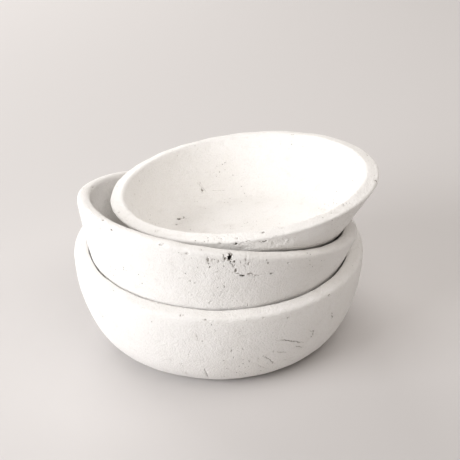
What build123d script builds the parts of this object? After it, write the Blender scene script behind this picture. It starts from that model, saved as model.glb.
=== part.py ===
from build123d import *
import os
from dataclasses import dataclass
from math import cos, radians, sin

# Three hand-carved wooden bowls dropped loosely one inside another.
# Each bowl is one piece, cut from a single block of wood.
# Millimetres, +Z up. The origin is the middle of the large bowl's foot, on the ground.


@dataclass
class Bowl:
    """One bowl's size along its own centre line, and how it stands in the stack."""

    foot_radius: float  # the flat underside
    rim_radius: float  # the outer corner of the rim, the widest point
    rim_height: float  # the outer corner of the rim above the foot
    lip_radius: float  # the inner corner of the rim, its highest point
    lip_rise: float  # the inner corner above the outer one
    floor_radius: float  # the flat floor inside
    floor_height: float  # the floor above the foot
    outer_pull: tuple  # two pull points, (radius, height), that belly the outer wall
    inner_pull: tuple  # two pull points, (radius, height), that hollow the inside
    foot_centre: tuple = (0, 0, 0)
    lean: float = 0  # degrees between the centre line and upright
    heading: float = 0  # degrees from +X towards +Y that the mouth leans to


# The widest and deepest bowl stands upright on the ground.
large = Bowl(
    foot_radius=104,
    rim_radius=150,
    rim_height=95.4,
    lip_radius=135.5,
    lip_rise=3,
    floor_radius=70,
    floor_height=24,
    outer_pull=((139, 0), (152, 60)),
    inner_pull=((135, 60), (118, 24)),
)

# The middle bowl is nearly as wide, so it jams askew: its foot touches the large bowl's
# floor on one side, and its wall leans on the large bowl's lip on the other.
medium = Bowl(
    foot_radius=92,
    rim_radius=145.6,
    rim_height=91,
    lip_radius=131.9,
    lip_rise=2,
    floor_radius=60,
    floor_height=27,
    outer_pull=((118.8, 0), (131, 50)),
    inner_pull=((127, 60), (105, 29)),
    foot_centre=(-14.3, -20.7, 46.8),
    lean=13.9,
    heading=57.6,
)

# The top bowl is shallower and flares wider. It leans the other way, with its foot on the
# middle bowl's floor and its flared wall on the middle bowl's lip.
small = Bowl(
    foot_radius=74,
    rim_radius=137.5,
    rim_height=77,
    lip_radius=122.5,
    lip_rise=3.6,
    floor_radius=80,
    floor_height=22,
    outer_pull=((84, 6), (118, 44)),
    inner_pull=((112, 58), (102, 24)),
    foot_centre=(34.2, 1.8, 84.7),
    lean=7.2,
    heading=154.1,
)

rim_outer_round = 6  # the rim's outer corner, worn round
rim_inner_round = 4  # the rim's inner corner
foot_round = 6  # the top bowl's foot, where the wall starts at an angle


def centre_line(bowl):
    """The line up the middle of a bowl, from the underside of its foot."""
    lean = radians(bowl.lean)
    heading = radians(bowl.heading)
    direction = (sin(lean) * cos(heading), sin(lean) * sin(heading), cos(lean))
    return Axis(bowl.foot_centre, direction)


def section_plane(bowl):
    """The plane that cuts a bowl in half: local X is the radius, local Y the height."""
    lean = radians(bowl.lean)
    heading = radians(bowl.heading)
    outward = (cos(lean) * cos(heading), cos(lean) * sin(heading), -sin(lean))
    sideways = (sin(heading), -cos(heading), 0)
    return Plane(origin=bowl.foot_centre, x_dir=outward, z_dir=sideways)


def half_section(bowl):
    """One side of a bowl's wall: foot, outer wall, rim, inner wall and floor."""
    with BuildSketch(section_plane(bowl)) as section:
        with BuildLine():
            foot = Line((0, 0), (bowl.foot_radius, 0))
            outer_wall = Bezier(foot @ 1, *bowl.outer_pull, (bowl.rim_radius, bowl.rim_height))
            rim = Line(outer_wall @ 1, (bowl.lip_radius, bowl.rim_height + bowl.lip_rise))
            inner_wall = Bezier(rim @ 1, *bowl.inner_pull, (bowl.floor_radius, bowl.floor_height))
            floor = Line(inner_wall @ 1, (0, bowl.floor_height))
            Line(floor @ 1, foot @ 0)
        make_face()
    return section.sketch


def rings(part, bowl):
    """The circular edges round a bowl, from the foot and the floor up to the lip."""
    return part.edges().filter_by(GeomType.CIRCLE).sort_by(centre_line(bowl))


with BuildPart() as large_bowl:
    revolve(half_section(large), axis=centre_line(large))
    fillet(rings(large_bowl, large)[-2], rim_outer_round)
    fillet(rings(large_bowl, large)[-1], rim_inner_round)

with BuildPart() as medium_bowl:
    revolve(half_section(medium), axis=centre_line(medium))
    fillet(rings(medium_bowl, medium)[-2], rim_outer_round)
    fillet(rings(medium_bowl, medium)[-1], rim_inner_round)

with BuildPart() as small_bowl:
    revolve(half_section(small), axis=centre_line(small))
    fillet(rings(small_bowl, small)[-2], rim_outer_round)
    fillet(rings(small_bowl, small)[-1], rim_inner_round)
    fillet(rings(small_bowl, small)[0], foot_round)

large_bowl.part.label = "large_bowl"
medium_bowl.part.label = "medium_bowl"
small_bowl.part.label = "small_bowl"

os.makedirs("parts", exist_ok=True)
export_step(large_bowl.part, "parts/large_bowl.step")
export_step(medium_bowl.part, "parts/medium_bowl.step")
export_step(small_bowl.part, "parts/small_bowl.step")
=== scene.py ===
from dataclasses import dataclass, field
from math import cos, pi, radians, sin

import bmesh
import bpy
import numpy as np
from mathutils import Matrix, Vector


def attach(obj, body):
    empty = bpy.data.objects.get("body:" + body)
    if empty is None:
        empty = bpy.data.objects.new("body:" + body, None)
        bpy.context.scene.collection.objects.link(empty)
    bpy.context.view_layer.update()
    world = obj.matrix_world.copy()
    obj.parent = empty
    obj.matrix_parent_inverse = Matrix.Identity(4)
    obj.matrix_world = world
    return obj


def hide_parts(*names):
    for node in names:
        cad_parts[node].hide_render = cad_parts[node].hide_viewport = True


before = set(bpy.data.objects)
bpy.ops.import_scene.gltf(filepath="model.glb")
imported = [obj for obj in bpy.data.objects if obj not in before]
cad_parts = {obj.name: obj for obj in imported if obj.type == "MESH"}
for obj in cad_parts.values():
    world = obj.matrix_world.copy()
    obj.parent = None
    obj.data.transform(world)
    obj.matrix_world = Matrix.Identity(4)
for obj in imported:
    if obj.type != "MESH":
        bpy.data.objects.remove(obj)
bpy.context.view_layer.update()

# Three hand-carved wooden bowls under chalky white paint, set one inside another.
# A bowl is worked out in millimetres, in its own frame: foot on the ground and mouth up.
# Its mesh, the materials and the studio are in metres.
MM = 0.001


# ---------------------------------------------------------------- the bowls

@dataclass
class Bowl:
    """One bowl's section and stance, close to the CAD's, and how the carving is uneven."""

    node: str
    foot_centre: tuple
    lean: float  # degrees from upright
    heading: float  # degrees from +X that the mouth leans to
    foot_radius: float  # the flat underside
    rim_radius: float  # the rim's outer corner
    rim_height: float
    lip_radius: float  # the rim's inner corner
    lip_rise: float  # how much higher the inner corner is
    floor_radius: float  # the flat inside
    floor_height: float
    outer_pull: tuple  # two pull points, (radius, height), that belly the outer wall
    inner_pull: tuple  # the same for the inner wall
    outer_round: float  # how far the softness of each corner of the rim reaches
    inner_round: float = 4
    # Waves round the rim: (how many, millimetres, degrees of the first crest)
    swell: list = field(default_factory=list)  # of the outer radius
    hollow: list = field(default_factory=list)  # of the inner radius
    sway: list = field(default_factory=list)  # of the rim's height
    # A fuller outer wall on one side: (millimetres, azimuth, degrees it reaches each way)
    belly: tuple = (0, 0, 1)
    seed: int = 1


large = Bowl(
    node="large_bowl",
    foot_centre=(0, 0, 0),
    lean=0,
    heading=0,
    foot_radius=112,
    rim_radius=150,
    rim_height=95.4,
    lip_radius=135.5,
    lip_rise=3,
    floor_radius=70,
    floor_height=24,
    outer_pull=((137, 8), (152, 60)),
    inner_pull=((135, 60), (118, 24)),
    outer_round=4,
    swell=[(2, 1.5, 45)],
    hollow=[(1, 1.2, 165), (2, 0.6, 75)],
    sway=[(1, 1.5, 180)],
    seed=11,
)
medium = Bowl(
    node="medium_bowl",
    foot_centre=(-14.3, -20.7, 46.8),
    lean=13.9,
    heading=57.6,
    foot_radius=92,
    rim_radius=145.6,
    rim_height=91,
    lip_radius=131.9,
    lip_rise=2,
    floor_radius=60,
    floor_height=27,
    outer_pull=((118.8, 0), (131, 50)),
    inner_pull=((127, 60), (105, 29)),
    outer_round=6.5,
    inner_round=6,
    swell=[(1, 1.8, 340), (2, 0.7, 0)],
    hollow=[(1, 0.7, 5), (2, 0.7, 95)],
    seed=23,
)
small = Bowl(
    node="small_bowl",
    foot_centre=(34.2, 1.8, 84.7),
    lean=7.2,
    heading=154.1,
    foot_radius=74,
    rim_radius=136.6,
    rim_height=77,
    lip_radius=121.6,
    lip_rise=3.6,
    floor_radius=80,
    floor_height=22,
    outer_pull=((84, 6), (116, 50)),
    inner_pull=((112, 58), (102, 24)),
    outer_round=3,
    swell=[(2, 2.3, 0)],
    hollow=[(2, 2.0, 0)],
    belly=(5.0, 281, 62),
    seed=37,
)


def bezier(*points, steps=60):
    """A cubic curve through its first and last point."""
    a, b, c, d = np.array(points, float)
    t = np.linspace(0, 1, steps)[:, None]
    return (1 - t) ** 3 * a + 3 * (1 - t) ** 2 * t * b + 3 * (1 - t) * t**2 * c + t**3 * d


def trimmed(curve, point, distance):
    """The curve without what lies within that distance of a point."""
    return curve[np.linalg.norm(curve - point, axis=1) > distance]


def rounded(before, corner, after, radius, steps=10):
    """A soft corner between a point before it and a point after it."""
    start = corner + (before - corner) / np.linalg.norm(before - corner) * radius
    end = corner + (after - corner) / np.linalg.norm(after - corner) * radius
    t = np.linspace(0, 1, steps)[:, None]
    return (1 - t) ** 2 * start + 2 * (1 - t) * t * corner + t**2 * end


class Section:
    """A bowl's half section as radius and height against length along it."""

    def __init__(self, bowl):
        foot = np.array([bowl.foot_radius, 0.0])
        corner = np.array([bowl.rim_radius, bowl.rim_height])
        lip = np.array([bowl.lip_radius, bowl.rim_height + bowl.lip_rise])
        floor = np.array([bowl.floor_radius, bowl.floor_height])
        outer = trimmed(bezier(foot, *bowl.outer_pull, corner), corner, bowl.outer_round)
        inner = trimmed(bezier(lip, *bowl.inner_pull, floor), lip, bowl.inner_round)
        path = np.concatenate(
            [
                [(0, 0)],
                outer,
                rounded(outer[-1], corner, lip, bowl.outer_round),
                rounded(corner, lip, inner[0], bowl.inner_round),
                inner,
                [(0, bowl.floor_height)],
            ]
        )
        steps = np.linalg.norm(np.diff(path, axis=0), axis=1)
        self.length = np.concatenate([[0], np.cumsum(steps)])
        self.radius = path[:, 0]
        self.height = path[:, 1]
        self.top = self.length[self.height.argmax()]

    def at(self, length):
        """Radius and height at a length along the section."""
        return (
            np.interp(length, self.length, self.radius),
            np.interp(length, self.length, self.height),
        )


def waves(crests, azimuth):
    """The sum of a rim's waves at each azimuth, in radians."""
    total = np.zeros_like(azimuth)
    for count, size, crest in crests:
        total += size * np.cos(count * (azimuth - radians(crest)))
    return total


def smooth_step(low, high, value):
    """0 below low, 1 above high and a smooth climb between them."""
    t = np.clip((value - low) / (high - low), 0, 1)
    return t * t * (3 - 2 * t)


def lattice(corner, seed):
    """A repeatable number from -1 to 1 for every whole-number corner."""
    # Multiplying by large numbers and folding the bits scatters corners that are neighbours.
    across, along, up, shuffle, again = 374761393, 668265263, 362437, 974634777, 1274126177
    keep = 0xFFFFFFFF
    n = corner[..., 0] * across + corner[..., 1] * along + corner[..., 2] * up
    n = (n + seed * shuffle) & keep
    n = ((n ^ (n >> 13)) * again) & keep
    sixteen_bits = 0xFFFF
    return ((n ^ (n >> 16)) & sixteen_bits) / (sixteen_bits / 2) - 1


def noise(points, cell, seed):
    """Smooth random bumps about one cell across, from -1 to 1."""
    scaled = points / cell
    base = np.floor(scaled).astype(np.int64)
    t = scaled - base
    t = t * t * (3 - 2 * t)
    total = np.zeros(len(points))
    for dx in (0, 1):
        for dy in (0, 1):
            for dz in (0, 1):
                weight = (
                    np.where(dx, t[:, 0], 1 - t[:, 0])
                    * np.where(dy, t[:, 1], 1 - t[:, 1])
                    * np.where(dz, t[:, 2], 1 - t[:, 2])
                )
                total += weight * lattice(base + np.array([dx, dy, dz]), seed)
    return total


def smooth_surface(bowl, section, azimuth, length):
    """Points of the bowl before its tool marks, in its own frame."""
    radius, height = section.at(length)
    # The waves are strongest at the rim and die out towards the foot.
    rise = np.sqrt(np.clip(height / bowl.rim_height, 0, None))
    inside = smooth_step(-6, 6, length - section.top)
    radius = radius + rise * (1 - inside) * waves(bowl.swell, azimuth)
    radius = radius + rise * inside * waves(bowl.hollow, azimuth)
    height = height + rise**4 * waves(bowl.sway, azimuth)
    return np.stack([radius * np.cos(azimuth), radius * np.sin(azimuth), height], axis=1)


def surface_frames(bowl, section, azimuth, length):
    """Points with their directions round the bowl, along the section and outwards."""
    small_turn = 0.002  # radians
    small_step = 0.4
    here = smooth_surface(bowl, section, azimuth, length)
    around = smooth_surface(bowl, section, azimuth + small_turn, length)
    around = around - smooth_surface(bowl, section, azimuth - small_turn, length)
    end = section.length[-1]
    along = smooth_surface(bowl, section, azimuth, np.minimum(length + small_step, end))
    along = along - smooth_surface(bowl, section, azimuth, np.maximum(length - small_step, 0))
    # Close to the middle a turn hardly moves a point, so its direction is worked out instead.
    centre = np.hypot(here[:, 0], here[:, 1]) < 1
    around[centre] = np.stack([-np.sin(azimuth), np.cos(azimuth), 0 * azimuth], 1)[centre]
    around /= np.linalg.norm(around, axis=1, keepdims=True)
    along /= np.linalg.norm(along, axis=1, keepdims=True)
    outwards = np.cross(around, along)
    outwards /= np.linalg.norm(outwards, axis=1, keepdims=True)
    return here, around, along, outwards


# ---------------------------------------------------------------- marks left in the wood
# A mark's place is its azimuth in degrees and how many millimetres down from the top of the
# rim it lies along the surface: positive outside the bowl, negative inside.

@dataclass
class Pit:
    """A hole or dent; the darker it is, the more unpainted wood and painted shade in the hollow show in
    it.
    """

    azimuth: float
    down: float
    width: float  # round the bowl
    height: float  # along the section
    depth: float
    dark: float = 0.45


@dataclass
class Crack:
    """A drying crack along a chain of places, each (azimuth, down); its dark is partly wood showing in
    it and partly painted shade in the crack.
    """

    places: list
    width: float
    depth: float
    dark: float


large_pits = [
    Pit(241, 11, 2.4, 1.6, 0.5, 0.15),
    Pit(256, 10, 1.6, 4, 1.0, 0.4),
    Pit(257, 9, 1.4, 3, 0.7, 0.2),
    Pit(265.5, 12, 2.4, 2.4, 1.0, 0.35),
    Pit(267, 14, 4, 3, 0.5, 0.1),
    Pit(287, 14, 3, 2, 0.5, 0.15),
    Pit(297, 20, 2.4, 1.6, 0.6, 0.3),
    Pit(317, 14, 5, 2.4, 1.1, 0.35),
    Pit(275, 51, 1.6, 2.4, 0.8, 0.35),
    Pit(276, 60, 1.6, 2, 0.7, 0.3),
    Pit(288, 64, 2, 2.4, 1.2, 0.6),
    Pit(291, 34, 2.4, 2, 0.6, 0.2),
    Pit(292, 60, 2, 2, 0.6, 0.3),
    Pit(299, 81, 4, 1.6, 0.6, 0.2),
]
large_cracks = [
    Crack([(261.5, 28), (262.5, 33), (262.8, 42)], 0.3, 0.6, 0.25),
    Crack([(264, 72), (265, 88), (265.5, 104)], 0.4, 0.9, 0.55),
    Crack([(255, 70), (255.8, 82)], 0.3, 0.5, 0.2),
    Crack([(256.5, 84), (256, 96)], 0.3, 0.5, 0.25),
    Crack([(257, 98), (258, 104)], 0.3, 0.5, 0.25),
    Crack([(258, 36), (257.5, 46)], 0.3, 0.4, 0.15),
    Crack([(260, 46), (259, 58), (258, 64)], 0.3, 0.4, 0.12),
    Crack([(252, 66), (250.5, 74)], 0.3, 0.4, 0.12),
    Crack([(291, 44), (296, 47), (300, 53), (303, 57), (307, 63)], 0.6, 1.0, 0.6),
    Crack([(301, 61), (308, 71)], 0.5, 0.8, 0.5),
    Crack([(293, 61), (296, 65), (300, 69)], 0.5, 0.8, 0.55),
    Crack([(287.5, 63), (291, 72), (295, 86)], 0.5, 0.8, 0.5),
    Crack([(286, 76), (288, 82), (293, 92)], 0.4, 0.6, 0.35),
    Crack([(307, 46), (310, 50), (310.5, 55), (309.5, 63)], 0.6, 0.9, 0.6),
    Crack([(320, 38), (321, 50)], 0.6, 1.0, 0.8),
]

medium_pits = [
    Pit(274.7, 9.5, 4, 8, 3.0, 1.3),  # the deep gouge on the front of the rim
    Pit(275.3, 5.5, 3, 3, 1.0, 0.5),
    Pit(273.3, 11.5, 4, 4, 1.5, 0.55),
    Pit(272.6, 9, 2, 3, 0.8, 0.4),
    Pit(276.8, 13.5, 2.5, 4, 1.5, 0.7),
    Pit(277.2, 18, 2, 4, 0.9, 0.4),
    Pit(278, 24, 3, 5, 1.2, 0.5),
    Pit(279.4, 27, 4, 2, 0.9, 0.4),
    Pit(281, 29, 6, 2.4, 2.2, 1.2),
    Pit(284, 27, 6, 3, 0.9, 0.3),
    Pit(286.5, 28, 3, 2, 0.7, 0.2),
    Pit(267, 15, 2, 5, 1.0),
    Pit(267.5, 19, 2, 3, 0.8),
    Pit(268.6, 14, 1.6, 4, 0.8),
    Pit(268, 23, 2, 3, 1.4, 0.6),
    Pit(271, 14.5, 2, 4, 0.7, 0.3),
    Pit(248.5, 8.5, 4, 2.4, 1.0, 0.3),
    Pit(259, 12, 3, 2.4, 0.8, 0.3),
    Pit(281, 11, 1.6, 5, 0.7, 0.35),
    Pit(282.5, 15, 1.6, 5, 0.6, 0.35),
    Pit(290, 13.5, 3, 2, 0.8, 0.4),
    Pit(293, 26, 4, 1.6, 1.0, 0.5),
    Pit(298.5, 14, 3, 2.4, 0.6, 0.3),
    Pit(275, 44.5, 1.6, 3, 1.0, 0.5),
    Pit(261, 43, 2, 2, 0.6, 0.2),
    Pit(270, 66, 2, 3, 0.8, 0.3),
    Pit(287, 66, 1.6, 4, 0.6, 0.3),
    Pit(173.5, -5.5, 3, 2, 1.2, 0.45),
    Pit(225, 10.5, 4, 2.4, 1.5, 0.7),
    Pit(220, 34, 3, 2, 0.5, 0.2),
]
medium_cracks = [
    Crack([(266.3, 9), (267.3, 15), (266.8, 20)], 0.4, 0.8, 0.4),
    Crack([(276, 15), (277.5, 22)], 0.5, 0.9, 0.45),
    Crack([(283, 27), (286, 28.5), (290, 27)], 0.5, 0.7, 0.3),
    Crack([(275, 46), (274, 58)], 0.3, 0.5, 0.2),
    Crack([(281, 14), (282, 24)], 0.3, 0.6, 0.3),
    Crack([(279, 10), (279.5, 16)], 0.3, 0.6, 0.3),
    Crack([(271, 60), (270, 69)], 0.3, 0.5, 0.2),
]

small_pits = [
    Pit(151, -70.5, 4.4, 4.4, 1.3, 0.8),
    Pit(147, -72.5, 4, 2.4, 0.8, 0.5),
    Pit(158.5, -73, 3, 3.4, 0.8, 0.5),
    Pit(120.5, -52.5, 2, 4, 0.9, 0.5),
    Pit(147, -38, 2.4, 1.6, 0.5, 0.12),
    Pit(116, -3, 4, 1.6, 0.6, 0.15),
    Pit(115.5, -8, 3, 2, 0.5, 0.12),
    Pit(63.5, -1.5, 4, 2, 0.8, 0.3),
    Pit(199.5, 8, 2.6, 2.6, 1.0, 0.45),
    Pit(209, 8.3, 3, 2.4, 0.7, 0.2),
    Pit(266.5, 15, 3.4, 2.5, 1.4, 0.9),
    Pit(278, 16, 6, 2.5, 1.6, 0.9),
    Pit(271, 13, 4, 2, 0.8, 0.4),
    Pit(260, 14, 3, 2, 0.7, 0.4),
    Pit(270, 20, 14, 6, 0.6, 0.0),
    Pit(284, 20, 20, 7, 0.5, 0.0),
    Pit(333, 26, 4, 3, 0.9, 0.4),
]
small_cracks = [
    Crack([(151, -71), (148, -73), (144.5, -79)], 0.6, 0.8, 0.55),
    Crack([(158, -73), (154, -77), (149.5, -84)], 0.4, 0.6, 0.3),
    Crack([(122.5, -40), (119.5, -50), (118, -56)], 0.5, 0.7, 0.3),
    Crack([(118, -54), (110, -58), (102, -62)], 0.4, 0.5, 0.2),
    Crack([(128, -56), (120, -60), (112, -64)], 0.3, 0.4, 0.12),
    Crack([(128, -60), (112, -67)], 0.3, 0.4, 0.1),
]


def scattered(rng, pits, cracks):
    """The listed marks and more of them, on the sides those leave unmarked and inside."""
    outside_pits = 40
    inside_pits = 8
    outside_cracks = 14
    bare_side = (-30, 225)  # azimuths from the right round the back to the left
    more_pits = list(pits)
    more_cracks = list(cracks)
    for _ in range(outside_pits):
        azimuth = rng.uniform(*bare_side)
        # Half of them gather at the rim's outer corner.
        down = rng.normal(11, 4) if rng.random() < 0.5 else rng.uniform(16, 90)
        size = 1.2 + 2.5 * rng.random() ** 2
        tall = size * rng.uniform(0.6, 1.6)
        more_pits.append(Pit(azimuth, down, size, tall, 0.35 * size, rng.uniform(0.1, 0.6)))
    for _ in range(inside_pits):
        place = (rng.uniform(0, 360), rng.uniform(-80, -8))
        more_pits.append(Pit(*place, width=2.0, height=1.6, depth=0.5, dark=0.2))
    for _ in range(outside_cracks):
        azimuth = rng.uniform(*bare_side)
        down = rng.uniform(22, 70)
        lean = rng.choice([rng.normal(0, 1), rng.normal(5, 3)])
        fall = rng.uniform(8, 24)
        places = [(azimuth, down), (azimuth + lean / 2, down + fall / 2), (azimuth + lean, down + fall)]
        dark = rng.uniform(0.2, 0.55)
        more_cracks.append(Crack(places, width=0.45, depth=0.8, dark=dark))
    return more_pits, more_cracks


def seated(bowl, section, azimuth, down):
    """The surface points at marks' places, and their three directions."""
    angle = np.radians(np.atleast_1d(np.array(azimuth, float)))
    length = section.top - np.atleast_1d(np.array(down, float))
    return surface_frames(bowl, section, angle, length)


def pit_reach(points, where, pit, grain):
    """How far out from the pit's middle each point is: 1 at its ragged edge."""
    centre, around, along, outwards = (part[0] for part in where)
    offset = points - centre
    across = offset @ around / (pit.width / 2)
    upward = offset @ along / (pit.height / 2)
    deep = offset @ outwards / (pit.width + pit.height)
    ragged = np.maximum(0.4, 1 + 0.6 * grain)
    return np.sqrt(across**2 + upward**2 + deep**2) * ragged


def crack_chain(bowl, section, crack, rng):
    """The crack's points on the surface, wavering from one place to the next."""
    steps = 7  # from each place to the next
    azimuths, downs = np.array(crack.places, float).T
    order = np.arange(len(azimuths))
    at = np.linspace(0, order[-1], order[-1] * steps + 1)
    azimuth = np.interp(at, order, azimuths)
    down = np.interp(at, order, downs)
    azimuth[1:-1] += rng.normal(0, 0.15, len(at) - 2)
    down[1:-1] += rng.normal(0, 0.35, len(at) - 2)
    return seated(bowl, section, azimuth, down)[0]


def crack_mask(points, chain, crack, grain):
    """1 along the middle of a crack, fading to 0 beside it and towards its ends."""
    mask = np.zeros(len(points))
    links = len(chain) - 1
    for link in range(links):
        start = chain[link]
        run = chain[link + 1] - start
        t = np.clip((points - start) @ run / (run @ run), 0, 1)
        gap = np.linalg.norm(points - (start + t[:, None] * run), axis=1)
        along = (link + t) / links
        narrow = np.clip(4 * np.minimum(along, 1 - along), 0.3, 1)
        width = crack.width * narrow * (1 + 0.5 * grain)
        mask = np.maximum(mask, narrow * (1 - smooth_step(0.3, 1.0, gap / width)))
    return mask


def close_to(points, centre, reach):
    """Indices of the points within reach of a centre."""
    return np.nonzero(np.linalg.norm(points - centre, axis=1) < reach)[0]


# ---------------------------------------------------------------- meshes

RIM_ROW = 0.9  # how far apart the rows of vertices are on the rim and beside it
WALL_ROW = 2.0
FOOT_ROW = 5.0  # on the flat underside
RIM_REACH = 20  # how far from the rim's top the close rows go
COLUMNS = 360
MARK_MARGIN = 1.5  # the faces are split this far beyond a pit
CRACK_REACH = 2.4  # and this far to each side of a crack
SPLIT_SHARES = (1.0, 0.75, 0.5)  # each round of splitting stays closer to the mark

# Bumps the knife left, coarse to fine: (millimetres across, millimetres high)
KNIFE_BUMPS = [(42, 0.50), (15, 0.22), (5, 0.10)]
RIM_BUMPS = (11, 0.30)  # and more on the rim
FOOT_FADE = 8  # how far past the flat foot its flatness ends
FLOOR_FADE = 12
RESTING_CALM = 0.6  # how much weaker the bumps are on feet and floors
RESTING_DROP = 0.3  # and how much lower the surface is
PIT_EDGE = 0.12  # how high the paint stands round a pit, for a depth of 1


def row_lengths(bowl, section):
    """Lengths along the section at which the mesh has a row, close together on the rim."""
    rows = [0.0]
    while rows[-1] < section.length[-1]:
        length = rows[-1]
        if abs(length - section.top) < RIM_REACH:
            step = RIM_ROW
        elif length < bowl.foot_radius * 0.9:
            step = FOOT_ROW
        else:
            step = WALL_ROW
        rows.append(length + step)
    rows[-1] = section.length[-1]
    return np.array(rows)


def ball(rows):
    """A ball whose rows stand for lengths along the section, from foot centre to floor centre.

    Kept as a ball so that its faces can be split without tearing where the azimuth wraps."""
    tilt = np.linspace(0, pi, rows)[1:-1, None]
    turn = np.arange(COLUMNS) / COLUMNS * 2 * pi
    middle = [np.sin(tilt) * np.cos(turn), np.sin(tilt) * np.sin(turn), -np.cos(tilt) + 0 * turn]
    middle = np.stack(middle, axis=-1).reshape(-1, 3)
    vertices = np.concatenate([[(0, 0, -1)], middle, [(0, 0, 1)]])
    here = np.arange(COLUMNS) + 1
    after = np.roll(here, -1)
    last = (rows - 3) * COLUMNS
    faces = [(0, b, a) for a, b in zip(here, after)]
    faces += [(len(vertices) - 1, a + last, b + last) for a, b in zip(here, after)]
    for row in range(rows - 3):
        low = row * COLUMNS
        high = low + COLUMNS
        faces += [(a + low, b + low, b + high, a + high) for a, b in zip(here, after)]
    mesh = bpy.data.meshes.new("ball")
    mesh.from_pydata(vertices.tolist(), [], faces)
    return mesh


def vertex_array(mesh):
    """The mesh's points, one in each row."""
    flat = np.empty(len(mesh.vertices) * 3)
    mesh.vertices.foreach_get("co", flat)
    return flat.reshape(-1, 3)


def ball_places(mesh, rows):
    """Each vertex's azimuth and length, read from its direction on the ball."""
    points = vertex_array(mesh)
    points /= np.linalg.norm(points, axis=1, keepdims=True)
    azimuth = np.arctan2(points[:, 1], points[:, 0])
    row = np.arccos(np.clip(-points[:, 2], -1, 1)) / pi * (len(rows) - 1)
    return azimuth, np.interp(row, np.arange(len(rows)), rows)


def split_near_marks(mesh, bowl, section, rows, spots, share):
    """Splits the faces near marks, so that small holes and cracks have their own vertices."""
    points = smooth_surface(bowl, section, *ball_places(mesh, rows))
    close = np.zeros(len(points), bool)
    for centre, reach in spots:
        close[close_to(points, centre, share * reach)] = True
    bm = bmesh.new()
    bm.from_mesh(mesh)
    bm.verts.ensure_lookup_table()
    edges = [edge for edge in bm.edges if all(close[vert.index] for vert in edge.verts)]
    bmesh.ops.subdivide_edges(bm, edges=edges, cuts=1, use_grid_fill=True)
    bm.to_mesh(mesh)
    bm.free()


def stance(bowl):
    """Turns and moves a bowl's own frame, in millimetres, to where it stands, in metres."""
    heading = radians(bowl.heading)
    axis = Vector((-sin(heading), cos(heading), 0))
    lean = Matrix.Rotation(radians(bowl.lean), 4, axis)
    place = Matrix.Translation(Vector(bowl.foot_centre) * MM)
    return place @ lean @ Matrix.Scale(MM, 4)


def fuller_side(bowl, azimuth, rise):
    """How far the wall swells out on the bowl's fuller side, most of it below the rim."""
    # It is full over a quarter of its reach, and from three quarters of the height almost
    # up to the rim, which keeps its own shape.
    amount, side, reach = bowl.belly
    away = np.abs((np.degrees(azimuth) - side + 180) % 360 - 180)
    beside = 1 - smooth_step(0.25 * reach, reach, away)
    return amount * beside * smooth_step(0.2, 0.75, rise) * (1 - smooth_step(0.84, 1.0, rise))


def unevenness(bowl, section, points, azimuth, length):
    """How far the knife left each point outside (or, below 0, inside) the smooth surface."""
    radius, height = section.at(length)
    on_rim = 1 - smooth_step(8, 22, np.abs(length - section.top))
    under_foot = 1 - smooth_step(bowl.foot_radius, bowl.foot_radius + FOOT_FADE, length)
    on_floor = 1 - smooth_step(bowl.floor_radius, bowl.floor_radius + FLOOR_FADE, radius)
    resting = np.maximum(under_foot, on_floor * (length > section.top))

    lift = np.zeros(len(points))
    for turn, (cell, size) in enumerate(KNIFE_BUMPS):
        lift += size * noise(points, cell, bowl.seed + turn)
    cell, size = RIM_BUMPS
    lift += on_rim * size * noise(points, cell, bowl.seed + len(KNIFE_BUMPS))
    # Feet and floors are flatter, and a little low, so that a bowl doesn't sink into the next.
    lift = lift * (1 - RESTING_CALM * resting) - RESTING_DROP * resting
    return lift + fuller_side(bowl, azimuth, height / bowl.rim_height) * (length < section.top)


def cut_marks(points, lift, pits, seats, cracks, chains, seed):
    """Lowers the surface in the marks and says how dark each point is drawn there: partly unpainted
    wood, partly painted shade in the hollow.
    """
    grain = noise(points, cell=2.3, seed=seed + 5)
    fine = noise(points, cell=0.8, seed=seed + 6)
    bare_and_shade = np.zeros(len(points))
    for pit, seat in zip(pits, seats):
        some = close_to(points, seat[0][0], 2.5 * max(pit.width, pit.height))
        reach = pit_reach(points[some], seat, pit, grain[some] + 0.8 * fine[some])
        hole = 1 - smooth_step(0.5, 1.1, reach)
        edge = smooth_step(0.8, 1.15, reach) * (1 - smooth_step(1.15, 1.8, reach))
        lift[some] += PIT_EDGE * pit.depth * edge - pit.depth * hole
        # The dark in the pit is partly unpainted wood and partly painted shade in the hole.
        bare_and_shade[some] = np.maximum(bare_and_shade[some], pit.dark * hole)
    for crack, chain in zip(cracks, chains):
        middle = chain.mean(axis=0)
        half_length = np.linalg.norm(chain - middle, axis=1).max()
        some = close_to(points, middle, half_length + 4)
        mask = crack_mask(points[some], chain, crack, fine[some])
        lift[some] -= crack.depth * mask
        # The dark along the crack is partly wood showing and partly painted shade in the crack.
        bare_and_shade[some] = np.maximum(bare_and_shade[some], crack.dark * mask)
    return bare_and_shade


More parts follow.
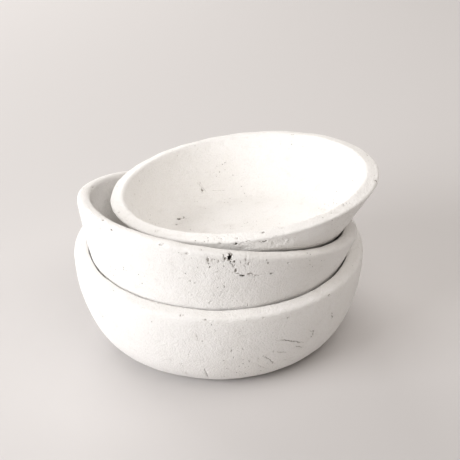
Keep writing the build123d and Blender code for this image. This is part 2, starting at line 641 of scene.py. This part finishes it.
def carve(bowl, pits, cracks):
    """Builds one bowl's mesh with its unevenness, pits and cracks."""
    section = Section(bowl)
    rng = np.random.default_rng(bowl.seed)
    pits, cracks = scattered(rng, pits, cracks)
    seats = [seated(bowl, section, pit.azimuth, pit.down) for pit in pits]
    chains = [crack_chain(bowl, section, crack, rng) for crack in cracks]
    spots = []
    for pit, seat in zip(pits, seats):
        spots.append((seat[0][0], 0.7 * max(pit.width, pit.height) + MARK_MARGIN))
    for chain in chains:
        spots += [(point, CRACK_REACH) for point in chain]

    rows = row_lengths(bowl, section)
    mesh = ball(len(rows))
    for share in SPLIT_SHARES:
        split_near_marks(mesh, bowl, section, rows, spots, share)

    azimuth, length = ball_places(mesh, rows)
    points, _, _, outwards = surface_frames(bowl, section, azimuth, length)
    lift = unevenness(bowl, section, points, azimuth, length)
    bare_and_shade = cut_marks(points, lift, pits, seats, cracks, chains, bowl.seed)
    points = points + outwards * lift[:, None]

    place = np.array(stance(bowl))
    placed = points @ place[:3, :3].T + place[:3, 3]
    mesh.vertices.foreach_set("co", placed.ravel())
    # This carries how dark the marks are drawn: partly unpainted wood, partly painted shade in the
    # hollows.
    mesh.attributes.new("bare_and_shade", "FLOAT", "POINT").data.foreach_set("value", bare_and_shade)
    mesh.update()
    mesh.shade_smooth()
    return mesh


# ---------------------------------------------------------------- paint

class Nodes:
    """Short names for adding and joining shader nodes."""

    def __init__(self, material):
        material.use_nodes = True
        self.tree = material.node_tree
        self.tree.nodes.clear()

    def add(self, kind, inputs=None, **settings):
        """A new node with its inputs set or joined."""
        node = self.tree.nodes.new(kind)
        for name, value in settings.items():
            setattr(node, name, value)
        for name, value in (inputs or {}).items():
            self.put(node, name, value)
        return node

    def put(self, node, name, value):
        """Joins an output to an input, or sets the input's value."""
        if isinstance(value, bpy.types.NodeSocket):
            self.tree.links.new(value, node.inputs[name])
        else:
            node.inputs[name].default_value = value

    def ramp(self, value, low, high, result_low=0.0, result_high=1.0):
        """result_low below low, result_high above high and in proportion between them."""
        inputs = {
            "Value": value,
            "From Min": low,
            "From Max": high,
            "To Min": result_low,
            "To Max": result_high,
        }
        return self.add("ShaderNodeMapRange", inputs).outputs["Result"]

    def mix(self, share, first, second):
        """A colour between the first and second."""
        node = self.add("ShaderNodeMix", data_type="RGBA")
        # The node has inputs of the same names for numbers and for colours, so these go by place.
        factor, colour_a, colour_b, colour_result = 0, 6, 7, 2
        self.put(node, factor, share)
        self.put(node, colour_a, first)
        self.put(node, colour_b, second)
        return node.outputs[colour_result]

    def add_times(self, base, value, factor):
        """base + value * factor"""
        node = self.add("ShaderNodeMath", operation="MULTIPLY_ADD")
        for place, number in enumerate((value, factor, base)):
            self.put(node, place, number)
        return node.outputs[0]

    def times(self, value, factor):
        """value * factor"""
        return self.add_times(0.0, value, factor)

    def noise(self, place, size, detail=4.0):
        """Noise from 0 to 1 with bumps of about that size in millimetres."""
        inputs = {"Vector": place, "Scale": 1 / (size * MM), "Detail": detail}
        return self.add("ShaderNodeTexNoise", inputs).outputs["Fac"]


WHITE = (0.96, 0.947, 0.93, 1)
WARM_WHITE = (0.935, 0.92, 0.895, 1)
DUST = (0.45, 0.41, 0.36, 1)
PINHOLE = (0.22, 0.19, 0.16, 1)
# The marks' colours: thin paint over wood, then near black in the deepest; both are partly wear and
# partly painted shade in holes and cracks.
THIN_PAINT_AND_SHADE = (0.30, 0.27, 0.24, 1)
DARK_WOOD_AND_HOLE_SHADE = (0.022, 0.02, 0.02, 1)


def pinholes(n, place, cloud):
    """Small round dots in a few cells of a pattern, more of them in some patches."""
    cells_per_metre = 330
    cells = n.add("ShaderNodeTexVoronoi", {"Vector": place, "Scale": cells_per_metre})
    dot = n.ramp(cells.outputs["Distance"], 0.12, 0.26, 1, 0)
    luck = n.add("ShaderNodeSeparateColor", {"Color": cells.outputs["Color"]}).outputs["Red"]
    chosen = n.ramp(n.add_times(luck, cloud, 2.0), 1.98, 2.10)
    return n.times(dot, chosen)


def chalk_paint(name, shift):
    """Matte lime paint over wood: chalky, a little patchy, pinholed, and darkened in the marks, partly
    as wear and partly as painted shade in the hollows.

    The shift gives each bowl its own part of the patterns."""
    material = bpy.data.materials.new(name)
    n = Nodes(material)
    place = n.add("ShaderNodeTexCoord").outputs["Object"]
    place = n.add("ShaderNodeMapping", {"Vector": place, "Location": (shift, -shift, shift)})
    place = place.outputs["Vector"]
    # How dark the marks are drawn: partly wear, partly painted shade in the hollows.
    bare_and_shade = n.add("ShaderNodeAttribute", attribute_name="bare_and_shade").outputs["Fac"]

    cloud = n.noise(place, 45)
    blot = n.noise(place, 12)
    speck = n.noise(place, 4)
    grit = n.noise(place, 1.6, detail=3.0)
    pinhole = pinholes(n, place, cloud)

    paint = n.mix(n.ramp(cloud, 0.35, 0.65), WHITE, WARM_WHITE)
    stain = n.times(n.ramp(blot, 0.58, 0.75), 0.12)
    stain = n.add_times(stain, n.ramp(grit, 0.5, 0.75), 0.1)
    paint = n.mix(stain, paint, DUST)
    paint = n.mix(n.times(pinhole, 0.55), paint, PINHOLE)
    # In the marks the colour runs from thin paint to near black: partly wear showing wood, partly
    # painted shade in holes and cracks.
    worn_and_shaded = n.mix(n.ramp(bare_and_shade, 0.6, 1.1), THIN_PAINT_AND_SHADE, DARK_WOOD_AND_HOLE_SHADE)
    ragged = n.add_times(bare_and_shade, n.ramp(grit, 0.3, 0.7, -1, 1), 0.12)
    colour = n.mix(n.ramp(ragged, 0.12, 0.62), paint, worn_and_shaded)

    height = n.times(grit, 0.9)
    height = n.add_times(height, speck, 0.7)
    height = n.add_times(height, pinhole, -0.7)
    bump = n.add("ShaderNodeBump", {"Height": height, "Strength": 1.0, "Distance": 1.0 * MM})
    inputs = {
        "Base Color": colour,
        "Roughness": n.ramp(blot, 0.3, 0.7, 0.75, 0.95),
        "Specular IOR Level": 0.2,
        "Normal": bump.outputs["Normal"],
    }
    shade = n.add("ShaderNodeBsdfPrincipled", inputs)
    n.add("ShaderNodeOutputMaterial", {"Surface": shade.outputs["BSDF"]})
    return material


def build(bowl, pits, cracks, shift):
    """One finished bowl, riding its own body in place of the plain CAD one."""
    mesh = carve(bowl, pits, cracks)
    mesh.materials.append(chalk_paint(bowl.node + "_paint", shift))
    piece = bpy.data.objects.new(bowl.node + "_carved", mesh)
    bpy.context.collection.objects.link(piece)
    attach(piece, bowl.node)
    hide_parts(bowl.node)


build(large, large_pits, large_cracks, 0.0)
build(medium, medium_pits, medium_cracks, 3.7)
build(small, small_pits, small_cracks, 8.1)


# ---------------------------------------------------------------- studio

FLOOR_GREY = (0.68, 0.662, 0.655, 1)
SKY = (1.0, 0.92, 0.83, 1)
SKY_STRENGTH = 0.2


def floor():
    """A plain pale floor under the bowls."""
    material = bpy.data.materials.new("studio_floor")
    n = Nodes(material)
    inputs = {"Base Color": FLOOR_GREY, "Roughness": 0.9, "Specular IOR Level": 0.1}
    shade = n.add("ShaderNodeBsdfPrincipled", inputs)
    n.add("ShaderNodeOutputMaterial", {"Surface": shade.outputs["BSDF"]})
    bpy.ops.mesh.primitive_circle_add(vertices=96, radius=12, fill_type="NGON")
    ground = bpy.context.object
    ground.name = "studio_floor"
    ground.data.materials.append(material)


def lamp(name, place, size, watts, colour):
    """A soft square lamp that points at the bowls and isn't seen itself."""
    data = bpy.data.lights.new(name, "AREA")
    data.shape = "SQUARE"
    data.size = size
    data.energy = watts
    data.color = colour
    item = bpy.data.objects.new(name, data)
    item.location = place
    towards_bowls = Vector((0, 0, 0.08)) - Vector(place)
    item.rotation_euler = towards_bowls.to_track_quat("-Z", "Y").to_euler()
    item.visible_camera = False
    bpy.context.collection.objects.link(item)


def sky():
    """A dim warm light from all round, and plain tones in the picture."""
    world = bpy.data.worlds.new("studio")
    world.use_nodes = True
    background = world.node_tree.nodes["Background"]
    background.inputs["Color"].default_value = SKY
    background.inputs["Strength"].default_value = SKY_STRENGTH
    bpy.context.scene.world = world
    bpy.context.scene.view_settings.view_transform = "Standard"


def camera():
    """In front of the stack and about 29 degrees above it."""
    aim = Vector((0.0113, 0, 0.1082))
    elevation = radians(29.35)
    distance = 1.401
    data = bpy.data.cameras.new("camera")
    data.lens = 105.5
    data.sensor_width = 36
    item = bpy.data.objects.new("camera", data)
    item.location = aim + distance * Vector((0, -cos(elevation), sin(elevation)))
    item.rotation_euler = (aim - item.location).to_track_quat("-Z", "Y").to_euler()
    bpy.context.collection.objects.link(item)
    bpy.context.scene.camera = item


floor()
lamp("window", (-1.9, -1.2, 0.9), 1.5, 48, (0.985, 0.985, 1.0))
lamp("back", (-1.1, 1.9, 1.1), 1.8, 36, (1.0, 0.98, 0.965))
lamp("above", (0.8, -0.45, 2.6), 2.2, 35, (1.0, 0.955, 0.925))
sky()
camera()
